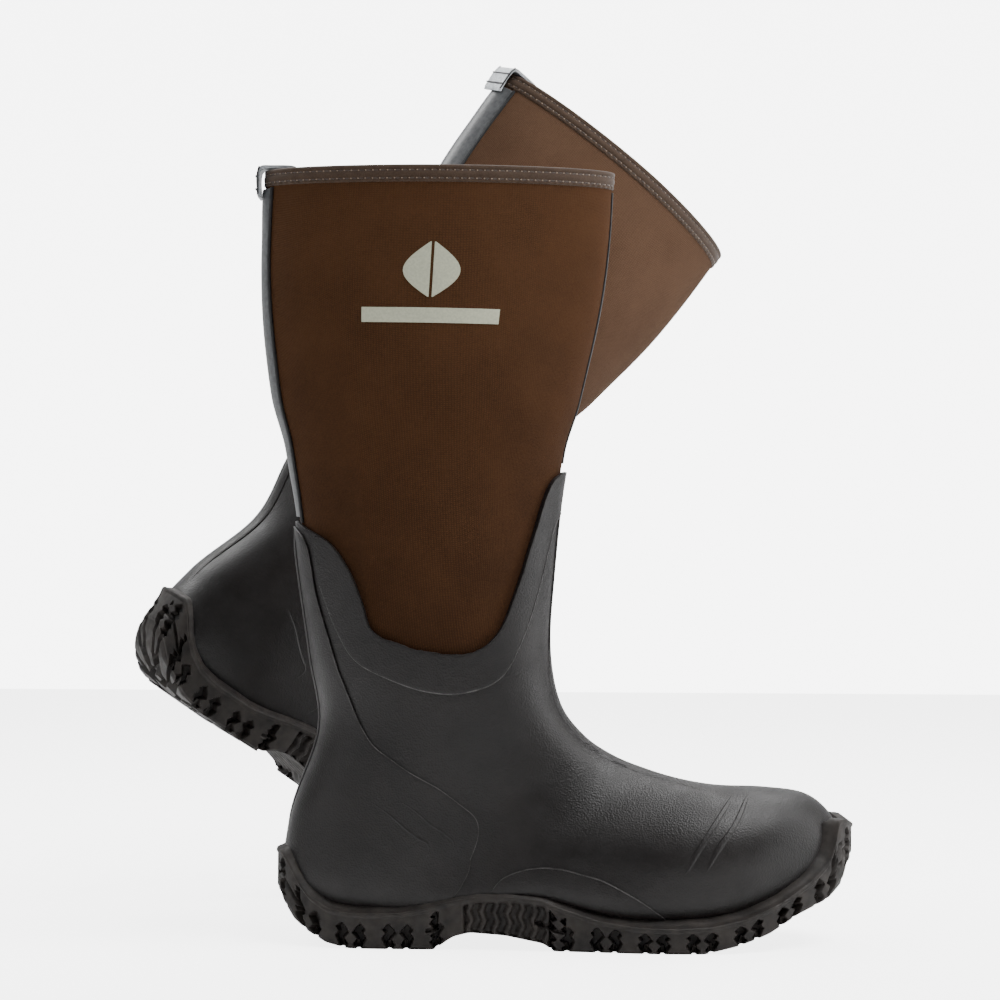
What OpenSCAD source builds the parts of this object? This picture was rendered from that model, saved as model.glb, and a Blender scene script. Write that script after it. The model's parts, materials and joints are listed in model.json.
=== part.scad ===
// A pair of tall insulated rubber and neoprene boots: the right boot stands,
// the left boot leans forward on its toe behind it.
// X points to the toe of the right boot, Y away from its outer side, Z up. The origin is on
// the floor under the right boot's heel.

/* [Boot] */
// Height of the shaft's rim above the floor
shaft_h = 420; // [380:1:440]
// Width of the shaft across the calf
calf_w = 82; // [74:1:90]
// Thickness of the rubber shell
rubber_t = 2.4; // [1.6:0.1:2.8]
// Thickness of the neoprene insulation
neoprene_t = 4.6; // [3:0.1:5]
// Thickness of the knit lining
lining_t = 1.6; // [1:0.1:2]
// Depth of the tread below the outsole's floor
tread_d = 5; // [3:0.5:6]

/* [Left boot] */
// How far the left boot tips forward on its toe
lean = 34.4; // [25:0.2:38]
// Direction that it tips to, from the right boot's toe direction
lean_to = 13.8; // [5:0.2:25]
// How far its toe turns away from the right boot
turn = 31.6; // [20:0.2:40]
// Place of its heel along the right boot, when it stands
left_x = -135; // [-160:1:-100]
// Place of its heel beside the right boot, when it stands
left_y = 101; // [90:1:140]

/* [Trim] */
// Height of the folded binding round the rim
binding_h = 13; // [8:0.5:16]
// Width of the pull tab and back strap
strap_w = 20; // [14:1:22]
// Thickness of the moulded overlays
overlay_t = 1.3; // [0.8:0.1:1.6]

/* [Hidden] */

// Clearance between layers that lie on each other
gap = 0.2;
// Half of the calf's width
calf = calf_w / 2;

// The boot's outer skin is a fan of closed sections, from the rim down the shaft, round the
// heel and out to the toe. Each row holds: front x, front z, back x, back z, middle y,
// outer half width, inner half width, share of the way back at the widest place,
// fullness of the front, fullness of the back.
SECTIONS = [
    [183, shaft_h, -7, shaft_h, 0, calf, calf, 0.5, 1.8, 1.8],
    [178.5, 0.8 * shaft_h + 27, -9, 0.8 * shaft_h + 29, 0, calf + 1, calf + 1, 0.5, 1.8, 1.8],
    [168, 306, -4, 308, 0, calf + 1, calf + 1, 0.5, 1.85, 1.85],
    [157, 252, 6.5, 254, 0, calf + 1, calf + 1, 0.5, 1.9, 1.9],
    [151.5, 200, 13, 202, 0, 42, 42, 0.5, 2, 2],
    [149.5, 160, 20, 155, 0, 41, 41, 0.5, 2.1, 2.1],
    [155, 130, 25, 115, 0, 39.5, 39.5, 0.5, 2.1, 2.2],
    [168, 112, 9, 66, 0, 38, 38, 0.5, 2.1, 2.3],
    [184, 101, 10, 27, 0, 37.5, 37.5, 0.55, 2.1, 2.8],
    [201, 94, 58, 15, 0, 38, 37, 0.6, 2.1, 4.6],
    [220, 88.5, 130, 22, -1, 42, 38, 0.62, 2.1, 4.6],
    [243, 85.5, 195, 12.5, -1, 49, 45, 0.62, 2.1, 4.6],
    [268, 84.5, 245, 13.5, 1, 46, 44, 0.6, 2.1, 4.6],
    [291, 80.5, 285, 26, 7, 33, 32, 0.55, 2.2, 3.4],
    [305, 69, 304, 41, 9, 17, 16, 0.5, 2.2, 2.4],
    [309, 55, 309, 55, 9.5, 0, 0, 0.5, 2, 2]
];
LAST = len(SECTIONS) - 1;
// Section at which the skin is closed at the toe
TOE = 14.85;

function mix(a, b, t) = a + (b - a) * t;
function smooth(t) = let (u = min(max(t, 0), 1)) u * u * (3 - 2 * u);
function curve(a, b, c, d, f) =
    0.5 * (2 * b + (c - a) * f + (2 * a - 5 * b + 4 * c - d) * f * f
    + (3 * b - a - 3 * c + d) * f * f * f);

// Section at any place between the rows
function section(s) =
    let (i = min(max(floor(s), 0), LAST - 1))
    curve(SECTIONS[max(i - 1, 0)], SECTIONS[i], SECTIONS[i + 1], SECTIONS[min(i + 2, LAST)], s - i);

// Point of the outer skin: angle 0 is the front, 90 the outer side, 180 the back
function skin(s, a) =
    let (
        r = section(s),
        c = cos(a),
        q = sin(a),
        fullness = c >= 0 ? r[8] : r[9],
        size = pow(pow(abs(c), fullness) + pow(abs(q), fullness), -1 / fullness),
        share = r[7] - size * c * (c >= 0 ? r[7] : 1 - r[7]),
        out = size * q * (q >= 0 ? r[5] : r[6])
    )
    [mix(r[0], r[2], share), r[4] - out, mix(r[1], r[3], share)];

// Outward direction of the skin
function outward(s, a) =
    let (
        down = skin(s + 0.04, a) - skin(s - 0.04, a),
        across = skin(s, a + 1.5) - skin(s, a - 1.5),
        n = cross(across, down)
    )
    n / norm(n);

// Point at a height over the skin
function over(s, a, h) = skin(s, a) + h * outward(s, a);

// How far the neoprene sinks below the skin, where the rubber lies over it
function sunk(s) = -(rubber_t + gap) * smooth((s - 2.2) / 0.55);

// A plate on the skin. grid holds rows of [section, angle] pairs, low and high its two faces.
// A ring's rows close on themselves, a capped plate has a closed last row, and a sock's faces
// follow the sunk neoprene.
module plate(grid, low, high, ring = false, capped = false, sock = false) {
    rows = len(grid);
    cols = len(grid[0]);
    count = rows * cols;
    function depth(s) = sock ? sunk(s) : 0;
    top = [for (r = grid) for (p = r) over(p[0], p[1], high + depth(p[0]))];
    under = [for (r = grid) for (p = r) over(p[0], p[1], low + depth(p[0]))];
    spans = ring ? cols : cols - 1;
    function at(i, j) = i * cols + j % cols;
    faces = [
        for (i = [0:rows - 2]) for (j = [0:spans - 1]) each [
            [at(i, j), at(i, j + 1), at(i + 1, j + 1), at(i + 1, j)],
            [count + at(i, j), count + at(i + 1, j), count + at(i + 1, j + 1), count + at(i, j + 1)]
        ],
        for (j = [0:spans - 1])
            [at(0, j), count + at(0, j), count + at(0, j + 1), at(0, j + 1)],
        if (!capped) for (j = [0:spans - 1])
            [at(rows - 1, j), at(rows - 1, j + 1), count + at(rows - 1, j + 1), count + at(rows - 1, j)],
        if (capped) [for (j = [0:cols - 1]) at(rows - 1, j)],
        if (capped) [for (j = [cols - 1:-1:0]) count + at(rows - 1, j)],
        if (!ring) for (i = [0:rows - 2]) each [
            [at(i, 0), at(i + 1, 0), count + at(i + 1, 0), count + at(i, 0)],
            [at(i, cols - 1), count + at(i, cols - 1), count + at(i + 1, cols - 1), at(i + 1, cols - 1)]
        ]
    ];
    polyhedron(points = concat(top, under), faces = faces, convexity = 8);
}

// Rows between two edges that have the same number of points
function between(upper, lower, rows) =
    [for (i = [0:rows]) [for (j = [0:len(upper) - 1]) mix(upper[j], lower[j], i / rows)]];

// An edge that runs down one side, carried on round the other side
function both_ways(edge) =
    concat(edge, [for (i = [len(edge) - 2:-1:0]) [edge[i][0], 360 - edge[i][1]]]);
function other_side(edge) = [for (p = edge) [p[0], 360 - p[1]]];
// An edge that runs back along one side, with its mirror image before it
function round_the_front(edge) =
    concat([for (i = [len(edge) - 1:-1:1]) [edge[i][0], -edge[i][1]]], edge);

// Upper edge of the rubber shell on the outer side, from the shin round to the back
COLLAR = [
    [2.93, 0], [3.04, 22], [3.56, 34], [4.14, 44], [4.72, 55], [5, 70], [4.97, 90],
    [4.84, 105], [4.68, 117], [4.34, 121], [3.98, 127], [3.7, 138], [3.55, 158], [3.48, 180]
];
STEPS = len(COLLAR) - 1;
// A row of the whole shaft, round both halves
function whole_shaft_row(i) =
    let (half = shaft_row(i, COLLAR, 0))
    concat(half, [for (j = [STEPS - 1:-1:1]) [half[j][0], 360 - half[j][1]]]);
// The same edge all the way round, without the repeated front point
COLLAR_RING = [
    for (i = [0:2 * STEPS - 1])
        i <= STEPS ? COLLAR[i] : [COLLAR[2 * STEPS - i][0], 360 - COLLAR[2 * STEPS - i][1]]
];
COLS = len(COLLAR_RING);

// Rows from the collar edge to the toe, which even out as they go down; the first one may
// start lower. All layers of the foot share these rows, so they lie evenly on each other.
FOOT_ROWS = 20;
function foot_rows(drop = 0) = [
    for (i = [0:FOOT_ROWS])
        [for (j = [0:COLS - 1])
            [mix(COLLAR_RING[j][0], TOE, i / FOOT_ROWS) + (i == 0 ? drop : 0),
            mix(COLLAR_RING[j][1], 360 * j / COLS, min(1, 2 * i / FOOT_ROWS))]]
];
// Rows of the shaft from the rim to the collar edge, for one half's points of that edge
SHAFT_ROWS = 8;
function shaft_row(i, edge, drop) = [
    for (j = [0:len(edge) - 1])
        [(edge[j][0] + drop) * i / SHAFT_ROWS,
        mix(180 * j / STEPS, edge[j][1], pow(i / SHAFT_ROWS, 1.5))]
];

// ---- Sole outline and profiles ----

// Distance that the outsole stands out from the foot, and how much more it does at the toe
lip = 5;
bumper = 3.5;
// Half of the outline of the foot in plan, from the heel to the toe, at a distance outside it
// and a further distance at the toe; side is 1 outside, -1 inside
HEEL_ANGLES = [180, 165, 150, 137, 125, 112];
function half_plan(off, toe_off, side) = [
    for (a = HEEL_ANGLES) let (p = over(7.7, side * a, off)) [p[0], p[1]],
    for (s = [8.3:0.5:14.8])
        let (p = over(s, side * 90, off + toe_off * smooth((s - 12.5) / 2.2)))
        [p[0], p[1]]
];
function plan(off, toe_off = 0) =
    let (
        outer = half_plan(off, toe_off, 1),
        inner = half_plan(off, toe_off, -1),
        tip = over(TOE, 90, off + toe_off)
    )
    concat(outer, [[tip[0], tip[1] + 3]], [for (i = [len(inner) - 1:-1:1]) inner[i]]);

// Ground line of the tread in side view: flat heel, raised arch, flat ball, toe spring
GROUND = [
    [-6, 38], [4, 25], [12, 14], [20, 8], [30, 2.5], [42, 0], [86, 0], [100, 7], [132, 7],
    [146, 0], [232, 0], [250, 4], [268, 10], [284, 19], [301, 26], [309, 33], [319, 52]
];
// Upper edge of the outsole in side view, from the heel kick to the toe bumper
RAND = [
    [-6, 51], [5, 50], [9, 44], [15, 34], [21, 27], [31, 21], [44, 19], [69, 19.5], [82, 22],
    [97, 26], [112, 28.5], [128, 29], [146, 27], [157, 23], [176, 17], [196, 14], [215, 13.5],
    [236, 14.5], [253, 18], [274, 26], [291, 36], [302, 46], [306, 57], [307, 74], [312, 71],
    [318, 64], [324, 60]
];
// Room between the rubber shell and the outsole's floor, and between its sides and the rand
floor_gap = 1.8;
side_gap = 1;
// Bottom line of the foot, lowered by a distance
function sole_line(drop) =
    [for (s = [8:0.25:14.75]) let (p = skin(s, 180)) [p[0], p[2] - drop]];
function raised(line, h) = [for (p = line) [p[0], p[1] + h]];
function backward(line) = [for (i = [len(line) - 1:-1:0]) line[i]];
function part_of(line, x0, x1) = [for (p = line) if (p[0] >= x0 && p[0] <= x1) p];

// Width of the solids that are cut to the outline, and the height of those cut to the side view
wide = 180;
tall = 100;
// A solid wider than the boot whose side view is a polygon
module side_view(points) {
    translate([0, wide / 2, 0])
        rotate([90, 0, 0])
            linear_extrude(wide)
                polygon(points);
}
module band(upper, lower) {
    side_view(concat(lower, backward(upper)));
}
module plan_prism(off, toe_off = 0) {
    linear_extrude(tall)
        polygon(plan(off, toe_off));
}

// Floor of the foam's recess in the outsole, and the recess's ends
RECESS = [[20, 15], [34, 8.5], [88, 7], [100, 14.5], [132, 14.5], [146, 6.5], [228, 6.5], [240, 7.2]];
recess_x0 = 21;
recess_x1 = 239;
// Distance of the recess inside the outline of the foot
recess_inset = 9;
board_t = 1.6;
shank_t = 1.2;
// Place, length and width of the shank
shank_x = 85;
shank_l = 90;
shank_w = 22;

// Tread blocks in plan: pairs along both edges and bars between them
BLOCK_PITCH = 22;
block_gap = 5;
module blocks() {
    for (x = [-1:BLOCK_PITCH:BLOCK_PITCH * 14])
        if (x < 88 || x > 138)
            for (side = [-1, 1])
                polygon([
                    [x, side * 70], [x + BLOCK_PITCH - block_gap, side * 70],
                    [x + BLOCK_PITCH - block_gap - 3, side * 18], [x + 5, side * 18]
                ]);
    for (x = [10:BLOCK_PITCH:BLOCK_PITCH * 14])
        if (x < 80 || x > 138)
            translate([x, 0])
                polygon([[0, -13], [12, -9], [12, 9], [0, 13]]);
}

// ---- Sole pieces ----

module outsole() {
    color("#26211f") {
        difference() {
            intersection() {
                plan_prism(lip, bumper);
                band(RAND, raised(GROUND, tread_d));
            }
            intersection() {
                plan_prism(side_gap);
                side_view(concat([[-8, 27]], sole_line(floor_gap), [[322, 55], [322, 120], [-8, 120]]));
            }
            intersection() {
                plan_prism(-recess_inset);
                side_view(concat(RECESS, [[240, 60], [20, 60]]));
            }
        }
        intersection() {
            plan_prism(lip, bumper);
            band(raised(GROUND, tread_d + 0.5), GROUND);
            linear_extrude(tall)
                blocks();
        }
    }
}

// The bottom line of the foot over the recess, lowered by a distance
function under_foot(drop) = part_of(sole_line(drop), recess_x0, recess_x1);

module shank_shape() {
    intersection() {
        translate([shank_x, -shank_w / 2, 0])
            cube([shank_l, shank_w, tall]);
        band(sole_line(floor_gap + board_t), sole_line(floor_gap + board_t + shank_t));
    }
}

module midsole() {
    color("#8a8f86")
        difference() {
            intersection() {
                plan_prism(-recess_inset);
                side_view(concat(RECESS, backward(under_foot(floor_gap + board_t))));
            }
            shank_shape();
        }
}

module shank() {
    color("#b9bcc0")
        shank_shape();
}

module lasting_board() {
    color("#b89b6e")
        intersection() {
            plan_prism(-recess_inset);
            band(under_foot(floor_gap), under_foot(floor_gap + board_t));
        }
}

// Distance from the skin to the inside of the lining
wall = rubber_t + neoprene_t + lining_t + 3 * gap;
insole_t = 5;
// Distance of the insole above the lining's floor, and inside its walls
insole_lift = 3.2;
insole_inset = 11;
module insole() {
    under = part_of(sole_line(-wall - insole_lift), 36, 280);
    color("#4c5157")
        intersection() {
            plan_prism(-wall - insole_inset);
            band(raised(under, insole_t), under);
        }
}

// ---- Rubber pieces ----

module rubber_shell() {
    color("#2b2523")
        plate(foot_rows(), -rubber_t, 0, ring = true, capped = true);
}

// Height of an overlay's inner face over the shell's skin
bond = 0.35;

BAND_TOP = [
    [2.96, 0], [3.07, 22], [3.59, 34], [4.17, 44], [4.75, 55], [5.03, 70], [5, 90],
    [4.87, 105], [4.71, 117], [4.37, 121], [4.01, 127], [3.73, 138], [3.65, 148]
];
BAND_FOOT = [
    [3.34, 0], [3.45, 14], [3.74, 21], [4.14, 28], [4.74, 39], [5.38, 56], [5.59, 76],
    [5.53, 94], [5.3, 112], [5.03, 128], [4.64, 138], [4.25, 145], [4.08, 148]
];
module collar_band() {
    color("#2f2926")
        plate(between(round_the_front(BAND_TOP), round_the_front(BAND_FOOT), 3), bond, overlay_t);
}

COUNTER_TOP = [
    [9.31, 123], [9.2, 112], [8.92, 95], [8.47, 82], [8, 77], [7.54, 81], [7.04, 91], [6.55, 107],
    [6.2, 122], [5.82, 132], [5.32, 138], [4.79, 144], [4.27, 151], [3.7, 157], [3.54, 180]
];
COUNTER_FOOT = [
    [9.32, 124.5], [9.28, 126], [9.2, 128], [9.1, 131], [9, 133], [8.9, 136], [8.8, 138], [8.6, 140],
    [8.4, 141], [8.2, 141], [8, 142], [7.8, 143], [7.62, 147], [7.44, 157], [7.3, 180]
];
module heel_counter() {
    color("#2a2422")
        plate(between(both_ways(COUNTER_TOP), both_ways(COUNTER_FOOT), 8), bond, overlay_t);
}

module heel_spine() {
    color("#241f1d")
        plate([for (s = [3.6:0.45:7.2]) [[s, 174], [s, 180], [s, 186]]], overlay_t, 2 * overlay_t);
}

// Half width of the instep strip as an angle
function strip_angle(s) = s < 4.6 ? 6 : s < 10 ? mix(6, 15, smooth(s - 4.6)) : mix(15, 25, smooth(s - 10));
module instep_strip() {
    color("#2f2926")
        plate(
            [for (s = [3.4:0.38:11.0]) let (w = strip_angle(s)) [[s, -w], [s, 0], [s, w]]],
            bond, overlay_t - 0.2
        );
}

module flex_ribs() {
    rib_w = 0.1;
    color("#2f2926")
        for (start = [[11.14, 27], [11.43, 31]])
            for (side = [-1, 1])
                plate(
                    [for (i = [0, 1])
                        [for (a = [0:9])
                            let (turn_back = side > 0 ? a : 9 - a)
                            [start[0] + rib_w * i, side * mix(start[1], 90, turn_back / 9)]]],
                    0, overlay_t
                );
}

ARCH_TOP = [
    [9.6, 120], [9.53, 112], [9.5, 104], [9.6, 98], [9.75, 97], [9.96, 99], [10.17, 102],
    [10.44, 105], [10.85, 115], [11.1, 124], [11.24, 130]
];
ARCH_FOOT = [
    [9.66, 122], [9.7, 123], [9.76, 124], [9.86, 124], [9.98, 124], [10.12, 125], [10.28, 127],
    [10.46, 130], [10.74, 132], [11.02, 133], [11.22, 133]
];
module arch_guards() {
    color("#2c2724") {
        plate(between(backward(ARCH_TOP), backward(ARCH_FOOT), 4), bond, overlay_t - 0.1);
        plate(between(other_side(ARCH_TOP), other_side(ARCH_FOOT), 4), bond, overlay_t - 0.1);
    }
}

// ---- Insulation, lining and shaft ----

// How far the shaft's neoprene tucks under the rubber
tuck = 0.12;

module foot_bootie() {
    color("#3a3431")
        plate(foot_rows(tuck + 0.03), -neoprene_t, 0, ring = true, capped = true, sock = true);
}

module lining() {
    outer = -neoprene_t - 2 * gap;
    color("#6d6a66")
        plate(
            concat([for (i = [0:SHAFT_ROWS - 1]) whole_shaft_row(i)], foot_rows()),
            outer - lining_t, outer,
            ring = true, capped = true, sock = true
        );
}

// One half of the shaft, from the front seam to the back seam
module panel(side) {
    edge = 0.5;
    grid = [
        for (i = [0:SHAFT_ROWS])
            let (row = shaft_row(i, COLLAR, tuck))
            [for (j = [0:STEPS])
                let (p = row[side > 0 ? j : STEPS - j])
                [p[0], side * min(max(p[1], edge), 180 - edge)]]
    ];
    plate(grid, -neoprene_t, 0, sock = true);
}
module lateral_panel() {
    color("#523824")
        panel(1);
}
module medial_panel() {
    color("#5a3f2b")
        panel(-1);
}

// ---- Trim ----

// Share of a section that the binding takes
binding_s = binding_h / 57;

module front_seam_tape() {
    color("#1c1a1a")
        plate([for (s = [binding_s + 0.02:0.32:2.8]) [[s, -3], [s, 0], [s, 3]]], 0, 0.9, sock = true);
}

// Angle of the strap's edge at the back of the shaft
strap_a = 15;
module back_strap() {
    color("#6f7376")
        plate(
            [for (i = [0:9])
                let (s = mix(binding_s + 0.04, 3.44, i / 9))
                [for (turn_off = [-1:0.5:1]) [s, 180 + strap_a * turn_off]]],
            bond, 1.7, sock = true
        );
}

binding_t = 1.1;
module top_binding() {
    cols = 28;
    inner = -neoprene_t - lining_t - 2 * gap - 0.8;
    // Points round the fold: outside bottom, outside top, inside top, inside bottom
    fold = [
        [binding_s, bond + binding_t], [-0.03, bond + binding_t], [-0.03, inner - bond - binding_t],
        [binding_s, inner - bond - binding_t], [binding_s, inner - bond], [-0.01, inner - bond],
        [-0.01, bond], [binding_s, bond]
    ];
    sides = len(fold);
    points = [
        for (j = [0:cols - 1])
            for (f = fold)
                let (flat = skin(f[0], 360 * j / cols), n = outward(0.05, 360 * j / cols))
                flat + f[1] * [n[0], n[1], 0]
    ];
    color("#5f4a3a")
        polyhedron(
            points = points,
            faces = [
                for (j = [0:cols - 1]) for (i = [0:sides - 1])
                    let (k = (j + 1) % cols, n = (i + 1) % sides)
                    [j * sides + i, k * sides + i, k * sides + n, j * sides + n]
            ],
            convexity = 8
        );
}

// The strap's end, folded over the rim; its legs clear the binding
module pull_tab() {
    low = shaft_h - 14;
    inner_low = shaft_h - 6;
    under = shaft_h + 2.2;
    high = shaft_h + 3.8;
    back = -13;
    back_t = 4;
    front = 9.3;
    front_t = 2;
    corner = 2;
    color("#8b8f92")
        translate([0, strap_w / 2, 0])
            rotate([90, 0, 0])
                linear_extrude(strap_w)
                    polygon([
                        [back, low], [back, high - corner], [back + corner, high], [front, high],
                        [front + front_t, high - corner], [front + front_t, inner_low],
                        [front, inner_low], [front, under], [back + back_t, under],
                        [back + back_t, low]
                    ]);
}

// A plain leaf of two halves over a plain bar, printed on the outer side: their sections, and
// the leaf's half width as an angle
leaf_s = [0.76, 1.26];
leaf_a = 8.6;
bar_s = [1.36, 1.5];
print_t = 0.4;
module emblem() {
    color("#d6d5ba") {
        for (side = [-1, 1])
            plate(
                [for (i = [0:8])
                    let (
                        w = 0.4 + leaf_a * sin(180 * i / 8),
                        s = mix(leaf_s[0], leaf_s[1], i / 8)
                    )
                    side > 0
                        ? [[s, 90.5], [s, 90.5 + w / 2], [s, 90.5 + w]]
                        : [[s, 89.5 - w], [s, 89.5 - w / 2], [s, 89.5]]],
                0, print_t
            );
        plate([for (s = bar_s) [for (a = [66:4:114]) [s, a]]], 0, print_t);
    }
}

// ---- Placing ----

// How far a point of the standing left boot lies in the direction that it tips to
function ahead(p) =
    (left_x + p[0] * cos(turn) + p[1] * sin(turn)) * cos(lean_to)
    + (left_y + p[0] * sin(turn) - p[1] * cos(turn)) * sin(lean_to);
// Height of the line that the left boot tips over
tip_z = 14;
// Furthest reach of its sole along the tipped ground line
reach = max([for (p = plan(lip, bumper)) ahead(p) * sin(lean) - lookup(p[0], GROUND) * cos(lean)]);
// Distance of that line ahead of the origin
tip_t = (reach - tip_z * (1 - cos(lean))) / sin(lean);

// The origin lies on the heel's middle tread bar, this far ahead of the heel's back
origin_x = 60;

module right() {
    translate([-origin_x, 0, 0])
        children();
}
module left() {
    translate([tip_t * cos(lean_to) - origin_x, tip_t * sin(lean_to), tip_z])
        rotate(lean, [-sin(lean_to), cos(lean_to), 0])
            translate([left_x - tip_t * cos(lean_to), left_y - tip_t * sin(lean_to), -tip_z])
                rotate([0, 0, turn])
                    mirror([0, 1, 0])
                        children();
}

right() outsole();  // right_outsole
right() midsole();  // right_midsole
right() shank();  // right_shank
right() lasting_board();  // right_lasting_board
right() insole();  // right_insole
right() rubber_shell();  // right_rubber_shell
right() collar_band();  // right_collar_band
right() heel_counter();  // right_heel_counter
right() heel_spine();  // right_heel_spine
right() instep_strip();  // right_instep_strip
right() flex_ribs();  // right_flex_ribs
right() arch_guards();  // right_arch_guards
right() foot_bootie();  // right_foot_bootie
right() lining();  // right_lining
right() lateral_panel();  // right_lateral_panel
right() medial_panel();  // right_medial_panel
right() front_seam_tape();  // right_front_seam_tape
right() back_strap();  // right_back_strap
right() top_binding();  // right_top_binding
right() pull_tab();  // right_pull_tab
right() emblem();  // right_emblem
left() outsole();  // left_outsole
left() midsole();  // left_midsole
left() shank();  // left_shank
left() lasting_board();  // left_lasting_board
left() insole();  // left_insole
left() rubber_shell();  // left_rubber_shell
left() collar_band();  // left_collar_band
left() heel_counter();  // left_heel_counter
left() heel_spine();  // left_heel_spine
left() instep_strip();  // left_instep_strip
left() flex_ribs();  // left_flex_ribs
left() arch_guards();  // left_arch_guards
left() foot_bootie();  // left_foot_bootie
left() lining();  // left_lining
left() lateral_panel();  // left_lateral_panel
left() medial_panel();  // left_medial_panel
left() front_seam_tape();  // left_front_seam_tape
left() back_strap();  // left_back_strap
left() top_binding();  // left_top_binding
left() pull_tab();  // left_pull_tab
left() emblem();  // left_emblem
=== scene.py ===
import json
import math

import bpy
import numpy as np
from mathutils import Matrix, Vector
from mathutils.bvhtree import BVHTree


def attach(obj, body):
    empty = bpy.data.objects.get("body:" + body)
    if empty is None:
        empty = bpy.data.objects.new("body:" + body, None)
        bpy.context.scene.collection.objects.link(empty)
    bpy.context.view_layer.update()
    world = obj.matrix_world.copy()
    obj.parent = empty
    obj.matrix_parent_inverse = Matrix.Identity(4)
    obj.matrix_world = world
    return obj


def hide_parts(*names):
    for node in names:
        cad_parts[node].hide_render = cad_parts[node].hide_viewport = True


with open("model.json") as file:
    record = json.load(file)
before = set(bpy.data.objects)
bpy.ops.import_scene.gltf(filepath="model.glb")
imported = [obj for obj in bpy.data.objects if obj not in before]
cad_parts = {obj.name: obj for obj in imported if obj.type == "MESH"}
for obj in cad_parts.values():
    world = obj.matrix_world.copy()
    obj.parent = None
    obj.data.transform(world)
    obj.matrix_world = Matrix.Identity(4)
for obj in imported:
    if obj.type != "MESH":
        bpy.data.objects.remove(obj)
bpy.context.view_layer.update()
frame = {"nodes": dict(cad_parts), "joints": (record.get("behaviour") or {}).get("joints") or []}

# A pair of tall rubber and neoprene boots. Every piece is modelled on the right boot, in boot
# millimetres with the heel at x = 0, and its mate is a mirrored copy that leans on its toe.
MM = 0.001
HEEL_X = 60

# ---- Camera, light and floor ----

EYE = Vector((0.062, -1.703, 0.2408))
SEEN_WIDTH = 0.548
SENSOR = 36
ROLL = -0.35


def camera():
    bpy.ops.object.camera_add(location=EYE, rotation=(math.radians(90), math.radians(ROLL), 0))
    eye = bpy.context.object
    eye.data.sensor_width = SENSOR
    eye.data.lens = SENSOR * -EYE.y / SEEN_WIDTH
    bpy.context.scene.camera = eye


# Place, target, width and height in metres, and power in watts
SOFTBOXES = [
    [(0.75, -0.35, 1.5), (0.12, 0.03, 0.12), (0.8, 0.8), 27],
    [(-1.2, -0.7, 0.9), (0, 0.1, 0.2), (0.6, 1.2), 5],
    [(0.25, 0.9, 1.5), (0.08, 0.1, 0.15), (1.5, 0.7), 21],
    [(1.4, 0.0, 0.55), (0.15, 0.05, 0.15), (0.5, 1.1), 10],
    [(-0.8, 0.5, 1.2), (-0.1, 0.1, 0.2), (0.6, 0.6), 11],
]
SKY = (0.95, 0.97, 1, 1)
SKY_STRENGTH = 0.13


def softbox(place, target, size, power):
    bpy.ops.object.light_add(type="AREA", location=place)
    lamp = bpy.context.object
    lamp.data.shape = "RECTANGLE"
    lamp.data.size, lamp.data.size_y = size
    lamp.data.energy = power
    lamp.rotation_euler = (Vector(target) - Vector(place)).to_track_quat("-Z", "Y").to_euler()


def studio():
    for box in SOFTBOXES:
        softbox(*box)
    world = bpy.data.worlds.new("studio")
    world.use_nodes = True
    sky = world.node_tree.nodes["Background"]
    sky.inputs["Color"].default_value = SKY
    sky.inputs["Strength"].default_value = SKY_STRENGTH
    bpy.context.scene.world = world


SHEET = 8
# The backdrop faces the camera, and hides the boots from a view that starts beyond it
BACKDROP = (0, 2.2, 3)


def paper(name, glow, seen, **place):
    """A plain white sheet of the stage: it glows faintly, and looks bright to the camera."""
    bpy.ops.object.select_all(action="DESELECT")
    bpy.ops.mesh.primitive_plane_add(size=SHEET, **place)
    sheet = bpy.context.object
    sheet.name = name
    paint = bpy.data.materials.new(name + "_paper")
    paint.use_nodes = True
    nodes, links = paint.node_tree.nodes, paint.node_tree.links
    shader = nodes["Principled BSDF"]
    shader.inputs["Base Color"].default_value = (0.9, 0.9, 0.9, 1)
    shader.inputs["Roughness"].default_value = 0.9
    shader.inputs["Specular IOR Level"].default_value = 0
    shader.inputs["Emission Color"].default_value = (1, 1, 1, 1)
    path = nodes.new("ShaderNodeLightPath")
    level = nodes.new("ShaderNodeMapRange")
    level.inputs["To Min"].default_value = glow
    level.inputs["To Max"].default_value = seen
    links.new(path.outputs["Is Camera Ray"], level.inputs["Value"])
    links.new(level.outputs["Result"], shader.inputs["Emission Strength"])
    sheet.data.materials.append(paint)


def stage():
    paper("floor", 0.05, 4, location=(0, 0, 0))
    paper("backdrop", 0.35, 6, location=BACKDROP, rotation=(math.radians(90), 0, 0))


# ---- The boot's skin: the same fan of sections as the frame's ----

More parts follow.
